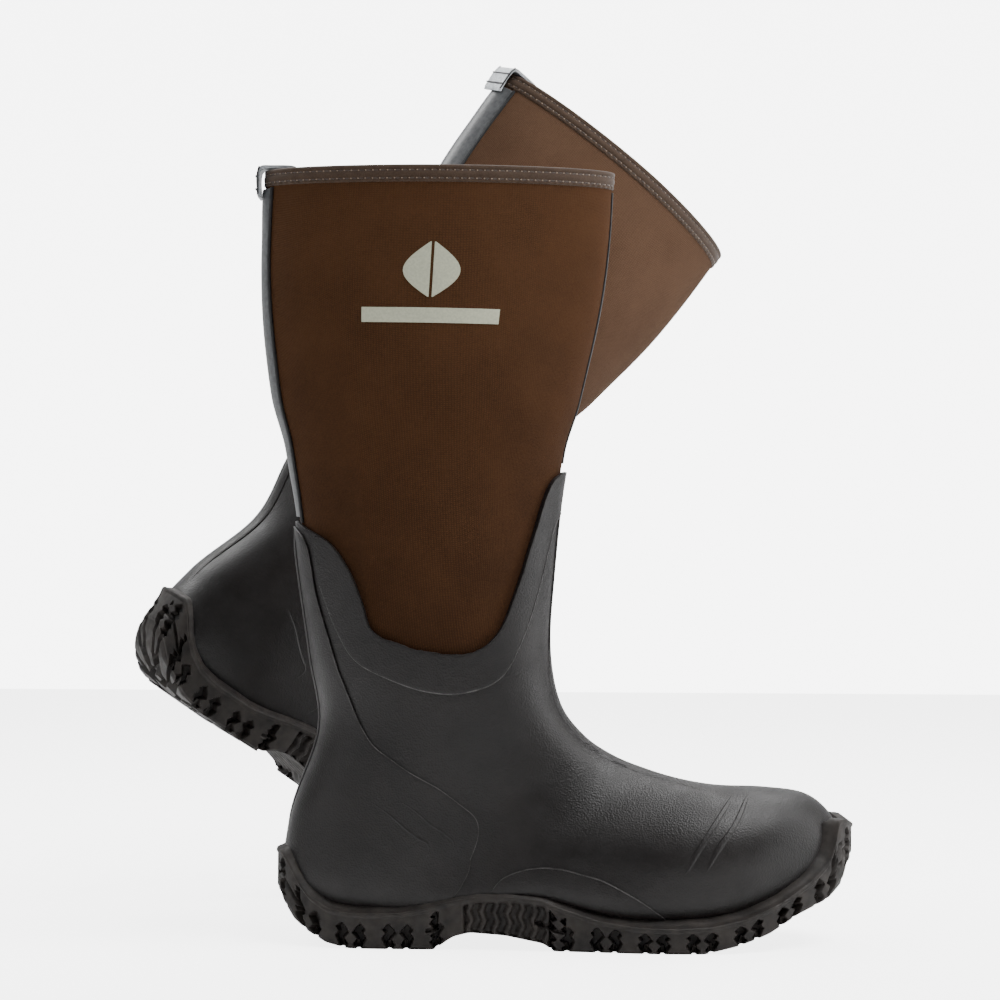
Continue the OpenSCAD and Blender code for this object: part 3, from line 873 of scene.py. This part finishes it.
def meet_shell(shell, place, away, reach, top):
    """Where a slope that rises from the rand's edge meets the shell: distance out and height."""
    tree = BVHTree.FromObject(shell, bpy.context.evaluated_depsgraph_get())
    x, y = place.T
    hug, hug_z = reach - 6, top + 1
    rise = np.radians(24 + 14 * smooth((x - 288) / 18))
    for k in range(STATIONS):
        start = Vector(((x[k] - HEEL_X) * MM, y[k] * MM, top[k] * MM))
        flat = math.cos(rise[k])
        heading = Vector((-away[k, 0] * flat, -away[k, 1] * flat, math.sin(rise[k])))
        hit = tree.ray_cast(start - heading * RUN_UP * MM, heading, 0.09)
        if hit[0]:
            into = hit[3] / MM - RUN_UP
            hug[k] = reach[k] - into * flat
            hug_z[k] = top[k] + into * math.sin(rise[k])
    return calm(np.minimum(hug, reach - 1.5), 6), calm(hug_z, 6)


def sole_bed(axis, away, hug, hug_z, low):
    """Rows inside the sole, under the foot: distance out and height."""
    floor_line = skin(np.linspace(8, 14.75, 80), np.full(80, 180.0))
    rows = []
    for share in (0.0, 0.5, 0.96):
        r = (hug - 4) * share
        bed = np.interp(axis[:, 0] + away[:, 0] * r, floor_line[:, 0], floor_line[:, 2]) - 1.2
        rows.append((r, np.minimum(np.maximum(bed, low + 2.5), hug_z - 4)))
    return rows


def sole_rand(hug, hug_z, reach, top):
    """Rows from the shell down the slope and over the rand's rounded edge."""
    return [
        (hug - 1.8, hug_z - 1.2), (hug - 0.8, hug_z - 0.1), (hug + 0.4, hug_z - 0.1),
        (mix(hug, reach, 0.5), mix(hug_z, top, 0.5) - 0.3),
        (reach - 1.6, top + 0.1), (reach - 0.8, top + 0.15), (reach - 0.2, top - 0.25),
        (reach, top - 0.9), (reach - 0.05, top - 1.7), (reach - 0.5, top - 2.3),
    ]


def sole_wall(reach, top, low, along, lug, pitch, solid):
    """Rows down the wall of lugs, with the fine ribs of the arch between."""
    start_z = top - 2.7
    height = start_z - low
    cells = np.maximum(np.round(height / 11 - 0.3), 1)
    void_height = np.where(cells > 1, height / cells - 0.8, np.minimum(height, 13.5))
    arch_zone = step_in(ARCH_HALF - np.abs(along), 1.5)
    rows = []
    for k in np.linspace(0, 1, WALL_ROWS):
        up = (1 - k) * height
        h = (up % (height / cells + 1e-6)) * VOID / void_height
        lugs = CUT * lug_cut(lug, pitch, h) * (1 - arch_zone) * ~solid * smooth(k * 12)
        beyond = (1 - k) * cells
        level = beyond - np.round(beyond)
        seam = np.where(cells > 1, 2.8 * np.exp(-(level * 13 / 1.2) ** 2), 0)
        seam = seam * (k > 0.1) * (k < 0.9)
        wander = 2.0 * np.abs((up / VOID + 0.25) % 1 * 2 - 1)
        ribs = 0.5 - 0.5 * np.cos(2 * np.pi * (along + wander) / RIB_PITCH)
        ribs = 2.6 * smooth(ribs * 1.5 - 0.1) * arch_zone * smooth((1 - k) * 20) * smooth(k * 14)
        corner = 1.3 * smooth((k - 0.9) / 0.1)
        rows.append((reach - 0.7 - lugs - seam - ribs - corner, start_z - height * k))
    return rows


def sole_tread(axis, away, reach, lug, pitch, solid):
    """Rows of the underside, from the wall in to the middle line."""
    rows = []
    for i in range(1, UNDER_ROWS + 1):
        r = (reach - 2) * (1 - i / UNDER_ROWS) ** 1.15
        d = reach - r
        px = axis[:, 0] + away[:, 0] * r
        py = axis[:, 1] + away[:, 1] * r
        ground = np.interp(px, GROUND[:, 0], GROUND[:, 1])
        block = np.interp(d, [0, 8, 20], [7.6, 6.6, 4.8])
        star = np.interp(d, [0, 9, 12], [3.4, 2.4, 0])
        gaps = step_in(np.minimum(lug - block, pitch / 2 - lug - star), 1.2) * ~solid
        bars = step_in(1.9 - np.abs((px + 0.45 * np.abs(py)) % 13 - 6.5), 1.2)
        ring = step_in(2.2 - np.abs(d - RIM_OF_TREAD), 1.2)
        void = np.maximum(np.where(d < RIM_OF_TREAD, gaps, bars), ring)
        arch = step_in(ARCH_HALF - np.abs(px - ARCH_X), 4)
        shallow = 1.2 * (0.5 - 0.5 * np.cos(2 * np.pi * py / 8))
        rows.append((r, ground + mix(TREAD * void, shallow, arch) * smooth(d / 2.5)))
    return rows


def outsole(shell):
    place, length = sole_outline()
    along, lug, pitch, solid = sole_numbers(place, length)
    axis, away, reach = sole_spokes(place)
    top = calm(np.interp(place[:, 0], RAND[:, 0], RAND[:, 1]), 8)
    low = calm(np.interp(place[:, 0], GROUND[:, 0], GROUND[:, 1]), 8)
    hug, hug_z = meet_shell(shell, place, away, reach, top)
    rows = (sole_bed(axis, away, hug, hug_z, low) + sole_rand(hug, hug_z, reach, top)
            + sole_wall(reach, top, low, along, lug, pitch, solid)
            + sole_tread(axis, away, reach, lug, pitch, solid))
    points = np.array([np.stack([*(axis + away * r[:, None]).T, z], -1) for r, z in rows])
    points = on_floor(points)
    piece = grid("right_tread", np.concatenate([points, points[:, :1]], axis=1))
    close(piece, MERGE_COARSE)
    only(piece)
    bpy.ops.object.shade_smooth_by_angle(angle=math.radians(42))
    return piece


def on_floor(points):
    """Flattens the places that would dip under the floor, under either boot."""
    points[..., 2] = np.maximum(points[..., 2], 0)
    turn = np.array(LEFT.to_3x3())
    low = ((points - (HEEL_X, 0, 0)) @ turn.T)[..., 2] + LEFT.translation.z / MM
    return points + np.maximum(-low, 0)[..., None] * turn[2]


# ---- Shaft ----

TUCK = 0.12
SEAM_EDGE = 0.5
PANEL_COLUMNS = 75


def panel(name, side):
    edge = even(COLLAR, PANEL_COLUMNS)
    t = np.linspace(0, 1, 96)[:, None]
    turn = np.linspace(0, 180, PANEL_COLUMNS)
    s = (edge[:, 0] + TUCK) * t
    a = mix(turn, edge[:, 1], t ** 1.5)
    a = side * np.clip(a, SEAM_EDGE, 180 - SEAM_EDGE)
    return slab(name, s, a, -NEOPRENE, 0, 0.6, on_shaft)


def lining():
    ring = even(both_ways(COLLAR), ROUND + 1)
    t = np.linspace(0, 1, 60, endpoint=False)[:, None]
    s = ring[:, 0] * t
    a = mix(np.linspace(0, 360, ROUND + 1), ring[:, 1], t ** 1.5)
    fs, fa = foot_rows(90)
    s, a = np.r_[s, fs], np.r_[a, fa]
    outer = -NEOPRENE - 2 * GAP + sunk(s) + slack(s, np.minimum(a, 360 - a)) * 0.6
    return layer("right_lining_knit", s, a, outer - KNIT, outer, 0)


# The binding's foot and its two rows of stitches, in the rim's own steps of depth
BINDING_SPAN = 13 / RIM_SPAN
ROW_DEPTHS = (4.8, 10.8)
STITCH_PITCH = 4
PER_STITCH = 8


def rim_angles(count):
    fine = np.linspace(0, 360, 2000)
    place = skin(0.05, fine)
    run = np.r_[0, np.cumsum(np.linalg.norm(np.diff(place, axis=0), axis=1))]
    return np.interp(np.linspace(0, run[-1], count, endpoint=False), run, fine), run[-1]


def stitch_count():
    return round(rim_angles(8)[1] / STITCH_PITCH)


def flat_out(a):
    n = outward(0.05, a)
    n[..., 2] = 0
    return n / np.linalg.norm(n, axis=-1, keepdims=True)


def top_binding():
    a = rim_angles(stitch_count() * PER_STITCH)[0]
    beat = np.arange(len(a)) / PER_STITCH * 2 * np.pi
    inner = -NEOPRENE - KNIT - 2 * GAP - 0.6
    # Steps of depth below the rim, height off the skin in mm, and the stitches' pull on it
    fold = [
        [13.0, 0, 0], [13.2, 0.35, 0.25], [12.9, 0.7, 0.5], [12.2, 0.9, 0.4], [11.5, 0.7, 0.2],
        [10.8, 0.4, 0.15], [10.1, 0.75, 0], [8.6, 1.05, 0], [7, 1.1, 0], [5.6, 0.8, 0],
        [4.8, 0.4, 0.15], [4.0, 0.75, 0], [2.4, 1.0, 0], [0.8, 0.9, 0], [-0.1, 0.4, 0], [-0.6, -0.6, 0],
        [-0.8, -1.8, 0], [-0.8, inner / 2, 0], [-0.8, inner + 1.8, 0], [-0.6, inner - 0.2, 0],
        [-0.1, inner - 1.2, 0], [0.9, inner - 1.6, 0], [4, inner - 1.6, 0], [4.8, inner - 0.9, 0],
        [5.6, inner - 1.6, 0], [10, inner - 1.6, 0], [10.8, inner - 0.9, 0], [11.6, inner - 1.5, 0],
        [12.6, inner - 1.4, 0], [13.0, inner - 0.6, 0], [12.6, inner + 0.2, 0],
    ]
    rows = []
    for depth, h, pull in fold:
        wobble = 0.5 * pull * np.cos(beat) - 0.25 * pull
        lower = depth - (0.5 * np.cos(beat) * pull if depth > 11.6 else 0) + np.zeros(len(a))
        rows.append(skin(lower / RIM_SPAN, a) + flat_out(a) * (h + wobble)[:, None])
    rows.append(rows[0])
    points = np.array(rows)
    points = np.concatenate([points, points[:, :1]], axis=1)
    piece = grid("right_rim_binding", points)
    close(piece)
    return piece


def dots(name, centres, along, out, size):
    """Small ovals, one at each place, each lying along its own direction."""
    bpy.ops.object.select_all(action="DESELECT")
    bpy.ops.mesh.primitive_uv_sphere_add(segments=6, ring_count=5, radius=1)
    seed = bpy.context.object
    shape = np.array([v.co for v in seed.data.vertices])
    faces = [tuple(p.vertices) for p in seed.data.polygons]
    bpy.data.objects.remove(seed)
    side = np.cross(out, along)
    points, sides = [], []
    for c, u, v, w in zip(centres, along, side, out):
        base = len(points) * len(shape)
        points.append(c + shape @ (np.array([u, v, w]) * np.array(size)[:, None]))
        sides += [tuple(base + i for i in f) for f in faces]
    place = (np.concatenate(points) - (HEEL_X, 0, 0)) * MM
    mesh = bpy.data.meshes.new(name)
    mesh.from_pydata(place.tolist(), [], sides)
    piece = bpy.data.objects.new(name, mesh)
    bpy.context.scene.collection.objects.link(piece)
    edit(piece)
    bpy.ops.mesh.normals_make_consistent(inside=False)
    done()
    return piece


def unit(v):
    return v / np.linalg.norm(v, axis=-1, keepdims=True)


def rim_row(depth, h, count, shift):
    a = rim_angles(count)[0] + shift * 360 / count
    at = skin(depth / RIM_SPAN, a)
    along = unit(skin(depth / RIM_SPAN, a + 0.3) - at)
    out = flat_out(a)
    return at + out * h, along, out


def rim_dots(name, dot, shift, size):
    """Two rows of small ovals round the binding, at a share of a stitch along it."""
    made = []
    for depth in ROW_DEPTHS:
        centres, along, out = rim_row(depth, 0.6, stitch_count(), shift)
        made.append(dots(dot, centres, along, out, size))
    return joined(name, made)


def binding_stitches():
    return rim_dots("right_rim_thread", "thread", 0.5, (1.5, 0.42, 0.32))


def binding_holes():
    return rim_dots("right_rim_dots", "hole", 0.0, (0.55, 0.38, 0.25))


TAPE_A = 3.4
STRAP_A = 15


def front_tape():
    s, a = np.meshgrid(np.linspace(BINDING_SPAN + 0.03, 2.84, 70),
                       np.linspace(-TAPE_A, TAPE_A, 7), indexing="ij")
    return slab("right_front_tape", s, a, -1, 0.8, 0.35, on_shaft)


def back_strap():
    s, a = np.meshgrid(np.linspace(BINDING_SPAN + 0.03, 3.44, 80),
                       np.linspace(180 - STRAP_A, 180 + STRAP_A, 15), indexing="ij")
    return slab("right_back_strap", s, a, -0.8, 1.5, 0.5, on_shaft)


def strap_piping():
    made = []
    for side in (-1, 1):
        s = np.linspace(BINDING_SPAN + 0.02, 3.5, 80)
        a = np.full(80, 180.0 + side * (STRAP_A + 0.6))
        made.append(tube("pipe", on_shaft(s, a, np.full(80, 0.75)), 1.0))
    return joined("right_strap_piping", made)


TAB_W = 19
TAB_T = 1.8
TAB_ROWS, TAB_COLUMNS = 60, 13
STITCH_X, EDGE_X = -12.1, -11.1


def pull_tab():
    """A flat strip folded over the rim, with its ends on the strap and inside the rim."""
    out, top, low = -10.6, 421.7, 405.0
    path = [
        (out + 0.6, low), (out, low + 2), (out - 0.5, 413), (out - 0.4, 417.5), (out + 0.4, 420.2),
        (out + 2.2, 421.6), (-4, top), (5, top), (9.2, 421), (10.2, 418.6), (10.2, 414),
    ]
    t = np.linspace(0, len(path) - 1, TAB_ROWS)
    mid = bend(path, t)
    turn = unit(np.gradient(mid, axis=0))
    normal = np.stack([-turn[:, 1], turn[:, 0]], -1)
    across_y = np.linspace(-TAB_W / 2, TAB_W / 2, TAB_COLUMNS)
    sheets = []
    for name, sign in (("right_pull_tab_fold", 1), ("under", -1)):
        edge = mid + normal * sign * TAB_T / 2
        sheets.append(grid(name, np.stack(np.broadcast_arrays(edge[:, :1], across_y, edge[:, 1:]), -1)))
    piece = joined("right_pull_tab_fold", sheets)
    stitch_rims(piece)
    rounded(piece, 0.8)
    return piece


def tab_stitches():
    made = []
    for z in (409.5, 416.5):
        y = np.linspace(-TAB_W / 2 - 0.1, TAB_W / 2 + 0.1, 24)
        made.append(tube("stitch", np.stack([np.full(24, STITCH_X), y, np.full(24, z)], -1), 0.5))
    for y in (-TAB_W / 2, TAB_W / 2):
        z = np.linspace(406.5, 422, 24)
        x = EDGE_X + np.where(z > 419, (z - 419) * 0.3, 0)
        made.append(tube("stitch", np.stack([x, np.full(24, y), z], -1), 0.55))
    return joined("right_tab_thread", made)


# The plain leaf and bar: where they lie down the shaft (S) and round it in degrees (A)
LEAF_S = (0.76, 1.26)
LEAF_A = 8.6
BAR_S = (1.36, 1.5)
BAR_A = (65, 114)
INK = 0.3


def emblem():
    made = []
    t = np.linspace(0, 1, 40)
    s = mix(*LEAF_S, t)[:, None]
    width = 0.4 + LEAF_A * np.sin(np.pi * t)[:, None]
    for side in (1, -1):
        a = 90 + side * (0.5 + width * np.linspace(0, 1, 12))
        made.append(slab("leaf", np.broadcast_to(s, a.shape), a, -INK, INK, 0.12, on_shaft))
    s, a = np.meshgrid(np.linspace(*BAR_S, 8), np.linspace(*BAR_A, 50), indexing="ij")
    made.append(slab("bar", s, a, -INK, INK, 0.12, on_shaft))
    return joined("right_leaf_print", made)


def footbed():
    """Removable footbed: a smooth, cupped pad in the frame's own place."""
    copy = bpy.data.objects.new("right_footbed", frame["nodes"]["right_insole"].data.copy())
    bpy.context.scene.collection.objects.link(copy)
    edit(copy)
    bpy.ops.mesh.remove_doubles(threshold=MERGE_COARSE)
    bpy.ops.mesh.dissolve_limited(angle_limit=math.radians(4))
    done()
    rounded(copy, 1.2)
    return copy


# ---- Both boots ----

# The left boot's heel and turn when it stands upright, before it leans on its toe
LEFT_HEEL = (-0.135, 0.101)
LEFT_TURN = 31.6


def left_place():
    """Where the right boot's mirror image lies as the left boot."""
    tip = next(j for j in frame["joints"] if j["child"] == "left_boot")
    hinge = Matrix.Translation(Vector(tip["pos_m"]))
    lean = Matrix.Rotation(math.radians(-tip["range_deg"][0]), 4, Vector(tip["axis"]))
    to_heel = Matrix.Translation((LEFT_HEEL[0] - HEEL_X * MM, LEFT_HEEL[1], 0))
    stand = to_heel @ Matrix.Rotation(math.radians(LEFT_TURN), 4, "Z")
    heel = Matrix.Translation((HEEL_X * MM, 0, 0))
    mirror = Matrix.Scale(-1, 4, (0, 1, 0))
    return hinge @ lean @ hinge.inverted() @ stand @ mirror @ heel


def keep_place(piece):
    """Stores each vertex's place on the right boot, which the finishes read."""
    co = np.zeros(len(piece.data.vertices) * 3, np.float32)
    piece.data.vertices.foreach_get("co", co)
    stored = piece.data.attributes
    places = stored.get("place") or stored.new("place", "FLOAT_VECTOR", "POINT")
    places.data.foreach_set("vector", co)


def settle(piece, side, finish, body, nodes):
    piece.data.materials.clear()
    piece.data.materials.append(finish)
    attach(piece, f"{side}_{body}")
    if nodes:
        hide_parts(*[f"{side}_{n}" for n in nodes])


def pair(piece, finish, nodes=(), body="boot", angle=40):
    """Settles a right piece and its mirrored copy on the left boot."""
    only(piece)
    if angle:
        bpy.ops.object.shade_smooth_by_angle(angle=math.radians(angle))
    keep_place(piece)
    mate = bpy.data.objects.new(piece.name.replace("right_", "left_"), piece.data.copy())
    bpy.context.scene.collection.objects.link(mate)
    mate.data.transform(LEFT)
    edit(mate)
    bpy.ops.mesh.flip_normals()
    done()
    finishes = finish if isinstance(finish, tuple) else (finish, finish)
    settle(piece, "right", finishes[0], body, nodes)
    settle(mate, "left", finishes[1], body, nodes)


camera()
studio()
stage()
LEFT = left_place()

rubber = moulded_rubber()
# The left boot's neoprene is a lighter copy of the right's: painted light, standing in for the stronger
# light on the back boot.
knit = (knit_face("neoprene_right", (0.028, 0.0105, 0.003), (0.068, 0.0285, 0.0105)),
        knit_face("neoprene_left", (0.05, 0.0245, 0.0125), (0.098, 0.0535, 0.031)))
webbing, black = strap_face(), piping()

shell = rubber_shell()
sole = outsole(shell)
pair(shell, rubber, ["rubber_shell"])
pair(sole, tread_rubber(), ["outsole"], angle=0)
pair(collar_band(), rubber, ["collar_band"])
pair(heel_counter(), rubber, ["heel_counter"])
pair(counter_lines(), rubber)
pair(edge_beads(), edge_highlight_rubber())
pair(heel_spine(), rubber, ["heel_spine"])
pair(instep_strip(), rubber, ["instep_strip"])
pair(flex_ribs(), rubber, ["flex_ribs"])
pair(arch_guards(), rubber, ["arch_guards"])
pair(panel("right_lateral_shaft", 1), knit, ["lateral_panel"])
pair(panel("right_medial_shaft", -1), knit, ["medial_panel"])
pair(lining(), brushed_knit(), ["lining"])
pair(top_binding(), folded_tape(), ["top_binding"], angle=70)
pair(binding_stitches(), thread("rim_thread_brown", (0.05, 0.03, 0.019)))
pair(binding_holes(), thread("rim_thread_pale", (0.28, 0.2, 0.14)))
pair(front_tape(), black, ["front_seam_tape"])
pair(back_strap(), webbing, ["back_strap"])
pair(strap_piping(), black)
pair(pull_tab(), tab_face(), ["pull_tab"])
pair(tab_stitches(), thread("tab_thread", (0.012, 0.012, 0.014)))
pair(emblem(), print_ink(), ["emblem"])
pair(footbed(), pressed("footbed_foam", (0.05, 0.055, 0.06), (0.09, 0.095, 0.1), 1.2, 0.2, 0.9),
     ["insole"], body="footbed")

INNER = {
    "midsole": pressed("midsole_foam", (0.2, 0.21, 0.2), (0.3, 0.31, 0.29), 1.5, 0.2, 0.85),
    "shank": pressed("shank_fibre", (0.38, 0.39, 0.41), (0.5, 0.51, 0.53), 2.5, 0.1, 0.5),
    "lasting_board": pressed("board_fibre", (0.4, 0.28, 0.15), (0.55, 0.4, 0.24), 1.0, 0.1, 0.8),
    "foot_bootie": pressed("bootie_neoprene", (0.03, 0.026, 0.023), (0.05, 0.043, 0.04), 0.8, 0.15, 0.9),
}
for side in ("right", "left"):
    for node, inner_finish in INNER.items():
        mesh = frame["nodes"][f"{side}_{node}"].data
        mesh.materials.clear()
        mesh.materials.append(inner_finish)
